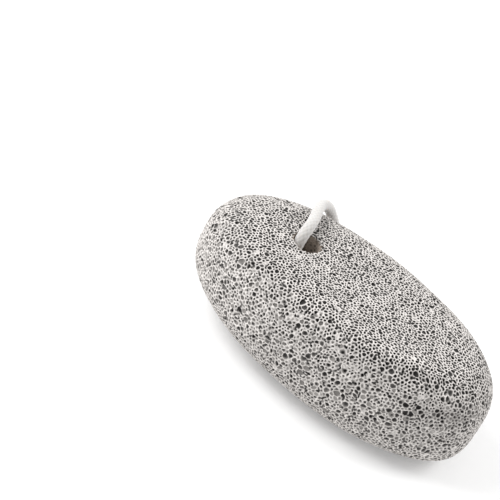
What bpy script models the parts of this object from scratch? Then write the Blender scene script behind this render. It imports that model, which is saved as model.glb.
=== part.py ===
"""Pumice foot stone with a drilled hole and a knotted hanging cord.

The stone is one pitted pebble. The cord is one loop that runs through the hole,
over the top of the stone and under its lifted end, and is closed behind the stone
by an overhand knot with two loose tails. All lengths are in metres, +Z is up, and
the stone rests on the plane z = 0.
"""

import math

import bmesh
import bpy
import numpy as np
from mathutils import Matrix, Vector

MM = 0.001

# Pebble: half sizes, and the powers that set how square it is.
HALF_LENGTH = 50.0 * MM
HALF_WIDTH = 27.3 * MM
HALF_THICKNESS = 15.15 * MM
PLAN_POWER = 2.18
RIM_POWER = 6.62
FACE_POWER = 2.93
TAPER = 0.066

# How it lies: the hole's end is lifted by the cord under it.
STONE_TILT = math.radians(3.7)
STONE_CENTRE_HEIGHT = 17.25 * MM
TABLE_HEIGHT = 0.0

# Cells of the skin, and the pits sunk into some of them.
CELL_SUBDIVISIONS = 4
RELAX_ROUNDS = 16
CELL_JITTER = 0.04
PIT_NEIGHBOURS = 2
PIT_RIM_SHARES = (0.26, 0.46)
PIT_DEPTH_SHARES = (0.4, 0.75)
PIT_CLEARANCE = 3.4 * MM
FOOT_CLEARANCE = 0.05 * MM
SEED = 11

# Hole for the cord.
HOLE_DIAMETER = 8.8 * MM
HOLE_MOUTH_WEAR = 0.6 * MM
HOLE_FACE_HEIGHTS = (3.75 * MM, 33.3 * MM)
HOLE_X = -19.7 * MM
HOLE_SIDES = 28
HOLE_CUTTER_HEIGHT = 80.0 * MM
MOUTH_CUTTER_HEIGHT = 4.0 * MM

# Cord and knot.
CORD_DIAMETER = 3.3 * MM
CORD_STATIONS = 58
TUBE_BEVEL = 2
KNOT_LINE = Vector((23.0, 37.0, 2.85)) * MM
KNOT_LEAN = math.radians(25.0)
KNOT_RING_RADIUS = 2.9 * MM
KNOT_WRAP_RADIUS = 1.45 * MM
KNOT_OPENING = 0.55
KNOT_WRAPS_PER_TURN = 1.5
KNOT_STRAND_DIAMETER = 2.9 * MM
KNOT_STRAND_SPREAD = 1.3 * MM
KNOT_MOUTH_SPREAD = 1.8 * MM
KNOT_MOUTH_X = 16.2 * MM
KNOT_ENTRY_RUN = 3.6 * MM
KNOT_LEAVE_RUN = 4.0 * MM
KNOT_LOOP_STATIONS = 40
KNOT_STATIONS = 64
LONG_TAIL_END = (42.0, 33.6, 1.7)
SHORT_TAIL_END = (35.5, 41.0, 2.0)
KNOT_VOXEL = 0.6 * MM
KNOT_FACE_SHARE = 0.16

# The loop's own points in millimetres, from the knot over the top of the stone,
# down the hole, back under the stone and to the knot again.
CORD_ROUTE = (
    (15.2, 35.4, 2.1),
    (10.8, 35.5, 1.9),
    (5.4, 35.5, 1.75),
    (-1.0, 34.7, 2.3),
    (-7.0, 33.0, 4.6),
    (-12.4, 31.2, 9.3),
    (-16.9, 29.6, 14.9),
    (-20.4, 28.4, 20.2),
    (-23.0, 27.2, 24.6),
    (-24.7, 25.6, 28.3),
    (-25.9, 23.3, 31.6),
    (-26.6, 20.6, 33.6),
    (-26.7, 17.6, 34.5),
    (-25.8, 14.4, 35.1),
    (-24.7, 11.3, 35.4),
    (-23.7, 8.4, 35.5),
    (-22.9, 5.7, 35.5),
    (-22.4, 3.1, 35.0),
    (-22.1, 0.9, 33.6),
    (-21.9, -0.5, 31.4),
    (-21.9, -1.0, 28.9),
    (-21.9, -1.0, 22.0),
    (-21.9, -1.0, 13.0),
    (-21.9, -1.0, 10.6),
    (-21.9, -1.0, 8.2),
    (-21.9, -0.5, 5.7),
    (-22.1, 0.9, 3.6),
    (-22.4, 3.1, 2.2),
    (-22.9, 5.7, 1.75),
    (-23.7, 8.6, 1.75),
    (-24.7, 12.6, 1.75),
    (-25.5, 18.0, 1.75),
    (-25.2, 24.4, 1.75),
    (-22.6, 30.4, 1.75),
    (-17.8, 35.4, 1.75),
    (-11.0, 38.7, 1.75),
    (-3.4, 40.0, 1.75),
    (4.4, 40.1, 1.85),
    (10.6, 39.1, 3.0),
    (15.2, 38.6, 3.6),
)

PUMICE_COLOUR = (0.56, 0.54, 0.51, 1.0)
PUMICE_ROUGHNESS = 0.95
CORD_COLOUR = (0.86, 0.85, 0.82, 1.0)
CORD_ROUGHNESS = 0.9

# How finely curves and places on the skin are worked out.
CURVE_PHASES = 40
HALVINGS = 48
LEAST_REACH = 1e-9


def clear_scene():
    """Remove the objects that the file opened with."""
    for scene_object in list(bpy.data.objects):
        bpy.data.objects.remove(scene_object)


def new_collection(name):
    """Return a new collection in the scene."""
    collection = bpy.data.collections.new(name)
    bpy.context.scene.collection.children.link(collection)
    return collection


def finish_material(name, colour, roughness):
    """Return a plain Principled material."""
    material = bpy.data.materials.new(name)
    material.use_nodes = True
    shader = material.node_tree.nodes["Principled BSDF"]
    shader.inputs["Base Color"].default_value = colour
    shader.inputs["Roughness"].default_value = roughness
    shader.inputs["Metallic"].default_value = 0.0
    return material


def stone_level(points):
    """Return 1 for points on the pebble's skin, less inside it and more outside."""
    along, across, up = points.T
    plan = np.abs(along / HALF_LENGTH) ** PLAN_POWER + np.abs(across / HALF_WIDTH) ** PLAN_POWER
    half_height = HALF_THICKNESS * (1.0 + TAPER * along / HALF_LENGTH)
    return plan ** (RIM_POWER / PLAN_POWER) + np.abs(up / half_height) ** FACE_POWER


def stone_skin(directions):
    """Return the pebble's skin over unit directions, spread about evenly.

    A direction's run in plan is stretched to the superellipse, and the skin's
    height over it follows the profile's own powers.
    """
    along, across, up = directions.T
    reach = np.hypot(along, across)
    outline = (np.abs(along) ** PLAN_POWER + np.abs(across) ** PLAN_POWER) ** (1.0 / PLAN_POWER)
    stretch = reach / np.maximum(outline, LEAST_REACH)
    rise = np.clip(1.0 - reach**RIM_POWER, 0.0, 1.0) ** (1.0 / FACE_POWER)
    half_height = HALF_THICKNESS * (1.0 + TAPER * along * stretch)
    return np.stack(
        [HALF_LENGTH * along * stretch, HALF_WIDTH * across * stretch, np.sign(up) * half_height * rise],
        axis=1,
    )


def onto_stone(points):
    """Slide points along their own radius until they lie on the pebble's skin."""
    inner = np.zeros(len(points))
    outer = np.full(len(points), HALF_LENGTH * 2.0) / np.linalg.norm(points, axis=1)
    for _ in range(HALVINGS):
        middle = (inner + outer) / 2.0
        outside = stone_level(points * middle[:, None]) > 1.0
        outer = np.where(outside, middle, outer)
        inner = np.where(outside, inner, middle)
    return points * inner[:, None]


def vertex_places(mesh):
    """Return a bmesh's vertex places as an array."""
    return np.array([vertex.co[:] for vertex in mesh.verts])


def set_vertex_places(mesh, places):
    """Move a bmesh's vertices to the places in an array."""
    for vertex, place in zip(mesh.verts, places):
        vertex.co = place


def spread_over_stone(mesh):
    """Scatter a bmesh ball's vertices over the pebble at uneven but like spacings."""
    chance = np.random.default_rng(SEED)
    places = vertex_places(mesh)
    places += chance.normal(0.0, CELL_JITTER, places.shape)
    places /= np.linalg.norm(places, axis=1)[:, None]
    set_vertex_places(mesh, stone_skin(places))
    for _ in range(RELAX_ROUNDS):
        bmesh.ops.beautify_fill(mesh, faces=mesh.faces, edges=mesh.edges)
        bmesh.ops.smooth_vert(
            mesh,
            verts=mesh.verts,
            factor=0.5,
            use_axis_x=True,
            use_axis_y=True,
            use_axis_z=True,
        )
        set_vertex_places(mesh, onto_stone(vertex_places(mesh)))


def dual_mesh_group():
    """Return a node group that turns corners into faces and faces into corners."""
    group = bpy.data.node_groups.new("Dual Mesh", "GeometryNodeTree")
    group.interface.new_socket("Geometry", in_out="INPUT", socket_type="NodeSocketGeometry")
    group.interface.new_socket("Geometry", in_out="OUTPUT", socket_type="NodeSocketGeometry")
    source = group.nodes.new("NodeGroupInput")
    dual = group.nodes.new("GeometryNodeDualMesh")
    result = group.nodes.new("NodeGroupOutput")
    group.links.new(source.outputs[0], dual.inputs[0])
    group.links.new(dual.outputs[0], result.inputs[0])
    return group


def evaluated_mesh(scene_object):
    """Return a new mesh of an object as its modifiers leave it."""
    depsgraph = bpy.context.evaluated_depsgraph_get()
    return bpy.data.meshes.new_from_object(scene_object.evaluated_get(depsgraph))


def stone_cells():
    """Return a mesh of the pebble whose skin is made of irregular cells."""
    bpy.ops.mesh.primitive_ico_sphere_add(subdivisions=CELL_SUBDIVISIONS, radius=1.0)
    ball = bpy.context.object
    mesh = bmesh.new()
    mesh.from_mesh(ball.data)
    spread_over_stone(mesh)
    mesh.to_mesh(ball.data)
    mesh.free()
    modifier = ball.modifiers.new("Cells", "NODES")
    modifier.node_group = dual_mesh_group()
    cells = evaluated_mesh(ball)
    bpy.data.objects.remove(ball)
    return cells


def flatten_foot(mesh, pose):
    """Cut the pebble flat where it touches the table."""
    to_stone = pose.inverted()
    bmesh.ops.bisect_plane(
        mesh,
        geom=mesh.verts[:] + mesh.edges[:] + mesh.faces[:],
        plane_co=to_stone @ Vector((0.0, 0.0, TABLE_HEIGHT)),
        plane_no=to_stone.to_3x3() @ Vector((0.0, 0.0, 1.0)),
        clear_inner=True,
    )
    edges = [edge for edge in mesh.edges if edge.is_boundary]
    bmesh.ops.holes_fill(mesh, edges=edges, sides=0)


def can_hold_pit(face, pose):
    """Say whether a cell lies clear of the hole and of the flat foot."""
    centre = pose @ face.calc_center_median()
    lowest = min((pose @ vertex.co).z for vertex in face.verts)
    hole_reach = HOLE_DIAMETER / 2.0 + PIT_CLEARANCE
    from_hole = (centre.xy - Vector((HOLE_X, 0.0))).length
    return from_hole > hole_reach and lowest > TABLE_HEIGHT + FOOT_CLEARANCE


def sink_pits(mesh, pose):
    """Sink pits into cells picked by chance, few of them side by side."""
    chance = np.random.default_rng(SEED)
    mesh.faces.ensure_lookup_table()
    chosen = set()
    for index in chance.permutation(len(mesh.faces)):
        face = mesh.faces[index]
        neighbours = {other for edge in face.edges for other in edge.link_faces}
        if len(neighbours & chosen) <= PIT_NEIGHBOURS and can_hold_pit(face, pose):
            chosen.add(face)
    for face in sorted(chosen, key=lambda cell: cell.index):
        radius = math.sqrt(face.calc_area() / math.pi)
        bmesh.ops.inset_individual(
            mesh,
            faces=[face],
            thickness=radius * chance.uniform(*PIT_RIM_SHARES),
            depth=-radius * chance.uniform(*PIT_DEPTH_SHARES),
            use_even_offset=True,
        )


def hole_cutter(collection):
    """Return the cutter that drills the hole and wears its two mouths wider."""
    mesh = bmesh.new()
    radius = HOLE_DIAMETER / 2.0
    bmesh.ops.create_cone(
        mesh,
        cap_ends=True,
        segments=HOLE_SIDES,
        radius1=radius,
        radius2=radius,
        depth=HOLE_CUTTER_HEIGHT,
        matrix=Matrix.Translation((HOLE_X, 0.0, STONE_CENTRE_HEIGHT)),
    )
    shaft = bpy.data.meshes.new("hole_shaft")
    mesh.to_mesh(shaft)
    mesh.free()
    cutter = bpy.data.objects.new("hole_cutter", shaft)
    cutter.hide_render = True
    cutter.display_type = "WIRE"
    collection.objects.link(cutter)
    return cutter


def mouth_cutter(name, face_height, outward, collection):
    """Return the flaring cutter that wears one mouth of the hole wider.

    outward is 1 for the mouth in the upper face and -1 for the one below.
    """
    radius = HOLE_DIAMETER / 2.0
    throat = face_height - outward * HOLE_MOUTH_WEAR
    middle = throat + outward * MOUTH_CUTTER_HEIGHT / 2.0
    turn = Matrix.Identity(4) if outward > 0 else Matrix.Rotation(math.pi, 4, "X")
    mesh = bmesh.new()
    bmesh.ops.create_cone(
        mesh,
        cap_ends=True,
        segments=HOLE_SIDES,
        radius1=radius,
        radius2=radius + MOUTH_CUTTER_HEIGHT,
        depth=MOUTH_CUTTER_HEIGHT,
        matrix=Matrix.Translation((HOLE_X, 0.0, middle)) @ turn,
    )
    flare = bpy.data.meshes.new(name)
    mesh.to_mesh(flare)
    mesh.free()
    cutter = bpy.data.objects.new(name, flare)
    cutter.hide_render = True
    cutter.display_type = "WIRE"
    collection.objects.link(cutter)
    return cutter


def cut(scene_object, cutter):
    """Take a cutter's shape out of an object."""
    modifier = scene_object.modifiers.new(cutter.name, "BOOLEAN")
    modifier.operation = "DIFFERENCE"
    modifier.solver = "EXACT"
    modifier.object = cutter


def make_stone(collection, cutters):
    """Make the pitted, drilled pebble."""
    pose = Matrix.Translation((0.0, 0.0, STONE_CENTRE_HEIGHT)) @ Matrix.Rotation(STONE_TILT, 4, "Y")
    cells = stone_cells()
    mesh = bmesh.new()
    mesh.from_mesh(cells)
    set_vertex_places(mesh, onto_stone(vertex_places(mesh)))
    bmesh.ops.recalc_face_normals(mesh, faces=mesh.faces)
    flatten_foot(mesh, pose)
    sink_pits(mesh, pose)
    mesh.to_mesh(cells)
    mesh.free()
    stone = bpy.data.objects.new("stone", cells)
    stone.matrix_world = pose
    collection.objects.link(stone)
    cells.materials.append(finish_material("pumice", PUMICE_COLOUR, PUMICE_ROUGHNESS))
    lower_face, upper_face = HOLE_FACE_HEIGHTS
    cut(stone, hole_cutter(cutters))
    cut(stone, mouth_cutter("upper_mouth_cutter", upper_face, 1, cutters))
    cut(stone, mouth_cutter("lower_mouth_cutter", lower_face, -1, cutters))
    return stone


def smooth_route(points, stations):
    """Return evenly spaced places on one smooth curve through the given points.

    Each stretch is a cubic whose slope at a point is the chord of its neighbours.
    """
    route = np.array(points)
    slopes = np.gradient(route, axis=0)
    phase = np.linspace(0.0, 1.0, CURVE_PHASES, endpoint=False)[:, None]
    stretches = []
    for index in range(len(route) - 1):
        start, end = route[index], route[index + 1]
        leave, arrive = slopes[index], slopes[index + 1]
        stretches.append(
            (2 * phase**3 - 3 * phase**2 + 1) * start
            + (phase**3 - 2 * phase**2 + phase) * leave
            + (3 * phase**2 - 2 * phase**3) * end
            + (phase**3 - phase**2) * arrive
        )
    fine = np.vstack(stretches + [route[-1:]])
    run = np.concatenate([[0.0], np.cumsum(np.linalg.norm(np.diff(fine, axis=0), axis=1))])
    wanted = np.linspace(0.0, run[-1], stations)
    return np.stack([np.interp(wanted, run, fine[:, axis]) for axis in range(3)], axis=1)


def tube_curve(name, paths, diameter, collection):
    """Return a curve object of round cords that follow the given paths."""
    curve = bpy.data.curves.new(name, "CURVE")
    curve.dimensions = "3D"
    curve.bevel_depth = diameter / 2.0
    curve.bevel_resolution = TUBE_BEVEL
    curve.use_fill_caps = True
    for path in paths:
        spline = curve.splines.new("POLY")
        spline.points.add(len(path) - 1)
        for point, place in zip(spline.points, path):
            point.co = (*place, 1.0)
    tube = bpy.data.objects.new(name, curve)
    collection.objects.link(tube)
    return tube


def make_cord(collection, material):
    """Make the loop from one mouth of the knot to the other."""
    path = smooth_route(np.array(CORD_ROUTE) * MM, CORD_STATIONS)
    cord = tube_curve("cord", [path], CORD_DIAMETER, collection)
    cord.data.materials.append(material)
    return cord


def knot_axes():
    """Return the knot's axes: along the cords, out to the cords' line, across."""
    along = np.array([1.0, 0.0, 0.0])
    outward = np.array([0.0, math.sin(KNOT_LEAN), -math.cos(KNOT_LEAN)])
    return along, outward, np.cross(along, outward)


def knot_path(side, tail_end):
    """Return one cord's path through the knot, from its mouth to its tail's end.

    The cord winds twice round a ring and three times about the ring's own core,
    which is an overhand knot. The other cord lies beside it all the way.
    """
    along, outward, across = knot_axes()
    line = np.array(KNOT_LINE)
    centre = line - (KNOT_RING_RADIUS + KNOT_WRAP_RADIUS) * outward
    turn = np.linspace(KNOT_OPENING, 4.0 * math.pi - KNOT_OPENING, KNOT_LOOP_STATIONS)[:, None]
    spoke = np.sin(turn) * along + np.cos(turn) * outward
    wrap = KNOT_WRAPS_PER_TURN * turn
    lean = np.cos(wrap) * spoke + np.sin(wrap) * across
    loop = centre + KNOT_RING_RADIUS * spoke + KNOT_WRAP_RADIUS * lean
    heading = np.gradient(loop, axis=0)
    beside = np.cross(heading, lean)
    beside /= np.linalg.norm(beside, axis=1)[:, None]
    loop = loop + side * KNOT_STRAND_SPREAD * beside
    mouth = line + side * KNOT_MOUTH_SPREAD * across
    mouth[0] = KNOT_MOUTH_X
    throat = line + side * KNOT_STRAND_SPREAD * across
    entry = throat + KNOT_WRAP_RADIUS * across - KNOT_ENTRY_RUN * along
    leave = throat - KNOT_WRAP_RADIUS * across + KNOT_LEAVE_RUN * along
    tail = np.array(tail_end) * MM
    droop = (leave + tail) / 2.0
    return np.vstack([mouth, entry, loop, leave, droop, tail])


def make_knot(collection, material):
    """Make the knot and its two tails as one closed lump."""
    paths = [
        smooth_route(knot_path(-1.0, LONG_TAIL_END), KNOT_STATIONS),
        smooth_route(knot_path(1.0, SHORT_TAIL_END), KNOT_STATIONS),
    ]
    strands = tube_curve("knot_strands", paths, KNOT_STRAND_DIAMETER, collection)
    knot = bpy.data.objects.new("knot", evaluated_mesh(strands))
    bpy.data.objects.remove(strands)
    collection.objects.link(knot)
    knot.data.materials.append(material)
    remesh = knot.modifiers.new("Fuse", "REMESH")
    remesh.mode = "VOXEL"
    remesh.voxel_size = KNOT_VOXEL
    thin = knot.modifiers.new("Thin", "DECIMATE")
    thin.ratio = KNOT_FACE_SHARE
    return knot


def main():
    """Build the foot stone, its cord and its knot."""
    clear_scene()
    parts = new_collection("pumice_stone")
    cutters = new_collection("cutters")
    make_stone(parts, cutters)
    cord_material = finish_material("cord", CORD_COLOUR, CORD_ROUGHNESS)
    make_cord(parts, cord_material)
    make_knot(parts, cord_material)


main()
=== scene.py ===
import math

import bmesh
import bpy
import numpy as np
from mathutils import Matrix, Vector


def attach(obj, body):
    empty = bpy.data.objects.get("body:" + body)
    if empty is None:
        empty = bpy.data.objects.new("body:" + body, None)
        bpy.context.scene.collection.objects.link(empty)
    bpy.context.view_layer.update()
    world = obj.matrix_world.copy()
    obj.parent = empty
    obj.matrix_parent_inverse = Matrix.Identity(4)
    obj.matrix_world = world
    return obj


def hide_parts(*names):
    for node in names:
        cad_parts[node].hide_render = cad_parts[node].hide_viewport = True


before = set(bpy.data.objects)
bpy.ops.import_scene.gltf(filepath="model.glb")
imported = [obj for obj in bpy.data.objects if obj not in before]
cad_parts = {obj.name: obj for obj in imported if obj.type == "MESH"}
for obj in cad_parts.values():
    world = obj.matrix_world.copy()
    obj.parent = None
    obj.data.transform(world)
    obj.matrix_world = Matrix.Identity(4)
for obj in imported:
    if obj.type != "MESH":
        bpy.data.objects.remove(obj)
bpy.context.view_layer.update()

bl_info = {
    "name": "Pumice Foot Stone",
    "version": (1, 0, 0),
    "blender": (4, 5, 0),
    "location": "View3D > Sidebar > Pumice",
    "description": "Porous foot stone with a braided hanging cord and its knot",
    "category": "Add Mesh",
}

MM = 0.001

# The pebble's own form: half sizes, the powers that set how square it is, and how it lies.
HALF_LENGTH = 50.0 * MM
HALF_WIDTH = 27.3 * MM
HALF_THICKNESS = 15.15 * MM
PLAN_POWER = 2.18
RIM_POWER = 6.62
FACE_POWER = 2.93
TAPER = 0.066
STONE_TILT = math.radians(3.7)
STONE_CENTRE_HEIGHT = 17.25 * MM
STONE_POSE = Matrix.Translation((0.0, 0.0, STONE_CENTRE_HEIGHT)) @ Matrix.Rotation(STONE_TILT, 4, "Y")

# The drilled hole: upright, a little worn at both mouths.
HOLE_X = -19.7 * MM
HOLE_RADIUS = 4.25 * MM
HOLE_MOUTH_WEAR = 0.15 * MM
HOLE_FACE_HEIGHTS = (3.75 * MM, 33.3 * MM)

# The loop's own points in millimetres, from the knot over the top of the stone,
# down the hole, back under the stone and to the knot again.
CORD_ROUTE = (
    (15.2, 35.4, 2.1),
    (10.8, 35.5, 1.9),
    (5.4, 35.5, 1.75),
    (-1.0, 34.7, 2.3),
    (-7.0, 33.0, 4.6),
    (-12.4, 31.2, 9.3),
    (-16.9, 29.6, 14.9),
    (-20.4, 28.4, 20.2),
    (-23.0, 27.2, 24.6),
    (-24.7, 25.6, 28.3),
    (-25.9, 23.3, 31.6),
    (-26.6, 20.6, 33.6),
    (-26.7, 17.6, 34.5),
    (-25.8, 14.4, 35.1),
    (-24.7, 11.3, 35.4),
    (-23.7, 8.4, 35.5),
    (-22.9, 5.7, 35.5),
    (-22.4, 3.1, 35.0),
    (-22.1, 0.9, 33.6),
    (-21.9, -0.5, 31.4),
    (-21.9, -1.0, 28.9),
    (-21.9, -1.0, 22.0),
    (-21.9, -1.0, 13.0),
    (-21.9, -1.0, 10.6),
    (-21.9, -1.0, 8.2),
    (-21.9, -0.5, 5.7),
    (-22.1, 0.9, 3.6),
    (-22.4, 3.1, 2.2),
    (-22.9, 5.7, 1.75),
    (-23.7, 8.6, 1.75),
    (-24.7, 12.6, 1.75),
    (-25.5, 18.0, 1.75),
    (-25.2, 24.4, 1.75),
    (-22.6, 30.4, 1.75),
    (-17.8, 35.4, 1.75),
    (-11.0, 38.7, 1.75),
    (-3.4, 40.0, 1.75),
    (4.4, 40.1, 1.85),
    (10.6, 39.1, 3.0),
    (15.2, 38.6, 3.6),
)

# The knot: an overhand knot that both cords make side by side.
KNOT_LINE = np.array((23.0, 37.0, 2.85)) * MM
KNOT_LEAN = math.radians(25.0)
KNOT_RING_RADIUS = 2.9 * MM
KNOT_WRAP_RADIUS = 1.45 * MM
KNOT_OPENING = 0.55
KNOT_STRAND_SPREAD = 1.3 * MM
KNOT_MOUTH_SPREAD = 1.8 * MM
KNOT_MOUTH_X = 15.4 * MM
KNOT_LOOP_STATIONS = 40
LONG_TAIL_END = (42.0, 33.6, 1.75)
SHORT_TAIL_END = (35.5, 41.0, 2.0)


# ---------------------------------------------------------------- settings


class PumiceStoneSettings(bpy.types.PropertyGroup):
    pores: bpy.props.IntProperty(
        name="Pores",
        description="How many pores the stone's whole skin has",
        default=12200,
        min=200,
        max=12400,
    )
    variety: bpy.props.FloatProperty(
        name="Variety",
        description="How much pores differ in width, as the spread of the width's logarithm",
        default=0.28,
        min=0.0,
        max=0.6,
    )
    web: bpy.props.FloatProperty(
        name="Web",
        description="Usual thickness of the stone between two pores",
        default=0.30 * MM,
        min=0.05 * MM,
        unit="LENGTH",
    )
    depth: bpy.props.FloatProperty(
        name="Depth",
        description="How deep the pores are, 1 as on the usual stone",
        default=1.0,
        min=0.0,
        max=2.0,
        subtype="FACTOR",
    )
    web_colour: bpy.props.FloatVectorProperty(
        name="Skin colour",
        description="Colour of the stone between its pores",
        default=(0.785, 0.749, 0.720),
        size=3,
        subtype="COLOR",
    )
    # Painted shade: the pores' floors are darkened towards this colour.
    pit_shade_colour: bpy.props.FloatVectorProperty(
        name="Pore colour",
        description="Colour of the pores' floors",
        default=(0.29, 0.274, 0.260),
        size=3,
        subtype="COLOR",
    )
    hole_colour: bpy.props.FloatVectorProperty(
        name="Hole colour",
        description="Colour of the drilled wall",
        default=(0.43, 0.367, 0.313),
        size=3,
        subtype="COLOR",
    )
    seed: bpy.props.IntProperty(
        name="Seed",
        description="Picks one of many like stones",
        default=5,
    )


class PumiceCordSettings(bpy.types.PropertyGroup):
    diameter: bpy.props.FloatProperty(
        name="Diameter",
        description="Diameter of the braided cord",
        default=3.3 * MM,
        min=0.5 * MM,
        unit="LENGTH",
    )
    squeezed: bpy.props.FloatProperty(
        name="Diameter in the knot",
        description="Diameter that the cord is pulled down to inside its knot",
        default=2.75 * MM,
        min=0.5 * MM,
        unit="LENGTH",
    )
    strands: bpy.props.IntProperty(
        name="Strands",
        description="Strands of the braid that turn each way",
        default=8,
        min=3,
        max=16,
    )
    plait: bpy.props.FloatProperty(
        name="Plait length",
        description="Run in which a strand turns once round the cord",
        default=13.0 * MM,
        min=2.0 * MM,
        unit="LENGTH",
    )
    relief: bpy.props.FloatProperty(
        name="Relief",
        description="Height of the braid's strands",
        default=0.14 * MM,
        min=0.0,
        unit="LENGTH",
    )
    colour: bpy.props.FloatVectorProperty(
        name="Colour",
        description="Colour of the cotton",
        default=(0.59, 0.577, 0.562),
        size=3,
        subtype="COLOR",
    )


class PumiceStageSettings(bpy.types.PropertyGroup):
    floor_colour: bpy.props.FloatVectorProperty(
        name="Floor colour",
        description="Colour of the plain floor",
        default=(0.85, 0.85, 0.85),
        size=3,
        subtype="COLOR",
    )
    floor_glow: bpy.props.FloatProperty(
        name="Floor glow",
        description="Light that the floor gives of its own, as a light table does",
        default=0.2,
        min=0.0,
    )
    key_power: bpy.props.FloatProperty(
        name="Key light",
        description="Power of the large soft lamp above, in watts",
        default=8.6,
        min=0.0,
    )
    rim_power: bpy.props.FloatProperty(
        name="Rim light",
        description="Power of the soft lamp behind, in watts",
        default=4.4,
        min=0.0,
    )
    fill: bpy.props.FloatProperty(
        name="Fill",
        description="Strength of the even light from all round",
        default=0.56,
        min=0.0,
    )


# ---------------------------------------------------------------- shader maths


class Value:
    """A shader socket that adds Math nodes when it is used in an expression."""

    def __init__(self, finish, socket):
        self.finish = finish
        self.socket = socket

    def math(self, operation, *pair):
        return self.finish.node("ShaderNodeMath", {"operation": operation}, pair)

    def __add__(self, other):
        return self.math("ADD", self, other)

    def __mul__(self, other):
        return self.math("MULTIPLY", self, other)

    def __rsub__(self, other):
        return self.math("SUBTRACT", other, self)

    def ramp(self, low, high):
        """Run from 0 to 1 smoothly as the value runs from low to high."""
        settings = {"interpolation_type": "SMOOTHSTEP"}
        return self.finish.node("ShaderNodeMapRange", settings, (self, low, high, 0.0, 1.0))


class Finish:
    """A Principled material and the expressions that feed it."""

    def __init__(self, name, colour, roughness):
        self.material = bpy.data.materials.new(name)
        self.material.use_nodes = True
        self.tree = self.material.node_tree
        self.shader = self.tree.nodes["Principled BSDF"]
        self.shader.inputs["Base Color"].default_value = (*colour, 1.0)
        self.shader.inputs["Roughness"].default_value = roughness
        self.shader.inputs["Metallic"].default_value = 0.0

    def node(self, kind, settings, inputs=(), output=0):
        """Add a node, set it up, fill its inputs and return one output."""
        made = self.tree.nodes.new(kind)
        for key, setting in settings.items():
            setattr(made, key, setting)
        pairs = inputs.items() if isinstance(inputs, dict) else enumerate(inputs)
        for key, given in pairs:
            if isinstance(given, Value):
                self.tree.links.new(given.socket, made.inputs[key])
            elif given is not None:
                made.inputs[key].default_value = given
        return Value(self, made.outputs[output])

    def place(self):
        """Return Object coordinates."""
        return self.node("ShaderNodeTexCoord", {}, output="Object")

    def attribute(self, name):
        """Return one of the mesh's own number attributes."""
        return self.node("ShaderNodeAttribute", {"attribute_name": name}, output="Fac")

    def noise(self, place, scale, detail):
        """Return soft noise from 0 to 1."""
        inputs = {"Vector": place, "Scale": scale, "Detail": detail}
        return self.node("ShaderNodeTexNoise", {}, inputs, output="Fac")

    def cells(self, place, scale):
        """Return the distance to the nearest of many scattered points."""
        inputs = {"Vector": place, "Scale": scale}
        return self.node("ShaderNodeTexVoronoi", {"feature": "F1"}, inputs, output="Distance")

    def mix(self, factor, first, second):
        """Return a colour between two colours."""
        settings = {"data_type": "RGBA"}
        inputs = {0: factor, 6: first, 7: second}
        return self.node("ShaderNodeMix", settings, inputs, output=2)

    def bump(self, height, distance, strength):
        """Return a normal that is tilted by a height in parts of a distance."""
        inputs = {"Height": height, "Distance": distance, "Strength": strength}
        return self.node("ShaderNodeBump", {}, inputs, output="Normal")

    def feed(self, socket, source):
        """Link an expression to one of the shader's sockets."""
        self.tree.links.new(source.socket, self.shader.inputs[socket])


def opaque(colour):
    """Return a colour with full alpha."""
    return (*colour, 1.0)


# The patterns, painted light and painted shade in the finishes. A scale is waves or cells
# to the metre, and a range is the pair of values between which a colour takes over. A share
# is how much of that colour there is at most, and a shade is how light it is beside the
# piece's own colour.
MOTTLE_SCALE = 60.0
MOTTLE_RANGE = (0.3, 0.7)
MOTTLE_SHADES = (0.93, 1.06)
GRAIN_SCALE = 1500.0
GRAIN_RANGE = (0.36, 0.62)
GRAIN_SHARE = 0.75
GRAIN_SHADE = 0.55
# Painted light: the skin is lighter where it faces straight up or down, on the flat faces.
FACE_LIGHT_SHARE = 0.4
FACE_LIGHT_SHADE = 1.05
# Painted shade inside the pores, taking over as they get deeper.
INSIDE_RANGE = (0.03, 0.12)
SPECK_SCALE = 700.0
# Painted shade: near-black dots stand for the shade in tiny holes that are only a bump.
PINHOLE_RANGE = (0.2, 0.32)
PINHOLE_SHARE = 0.95
PINHOLE_SHADOW_TONE = 0.12
# Painted shade: the deepest parts of the pores turn nearly black, sooner on the flat faces.
DARK_RANGE = (0.15, 0.42)
DEEP_SHADE_TONE = 0.1
FACE_SHADE_GAIN = 0.9
# Painted shade: darker spots on the drilled wall stand for the shade in pores that the drill cut open.
BORE_SCALE = 900.0
BORE_RANGE = (0.25, 0.5)
BORE_SHARE = 0.8
BORE_SHADOW_TONE = 0.35
SPECK_RANGE = (0.1, 0.4)
RELIEF_SHARES = (0.3, 0.7)
STONE_RELIEF = 0.25 * MM
STONE_RELIEF_STRENGTH = 0.9
STONE_ROUGHNESS = 0.95
STONE_DETAIL = 3.0

FIBRE_SCALE = 3500.0
FIBRE_DETAIL = 2.0
FIBRE_RANGE = (0.4, 0.8)
FIBRE_SHARE = 0.18
FIBRE_SHADE = 0.8
FIBRE_RELIEF = 0.08 * MM
FIBRE_RELIEF_STRENGTH = 0.7
# Painted shade in the grooves between the cord's strands.
GROOVE_RANGE = (0.35, 1.0)
GROOVE_SHARE = 0.5
GROOVE_SHADE = 0.72
CORD_ROUGHNESS = 0.92
CORD_SOCKETS = {
    "Sheen Weight": 0.2,
    "Sheen Roughness": 0.6,
    "Subsurface Weight": 1.0,
    "Subsurface Radius": (1.0, 0.95, 0.9),
    "Subsurface Scale": 2.5 * MM,
}


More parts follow.
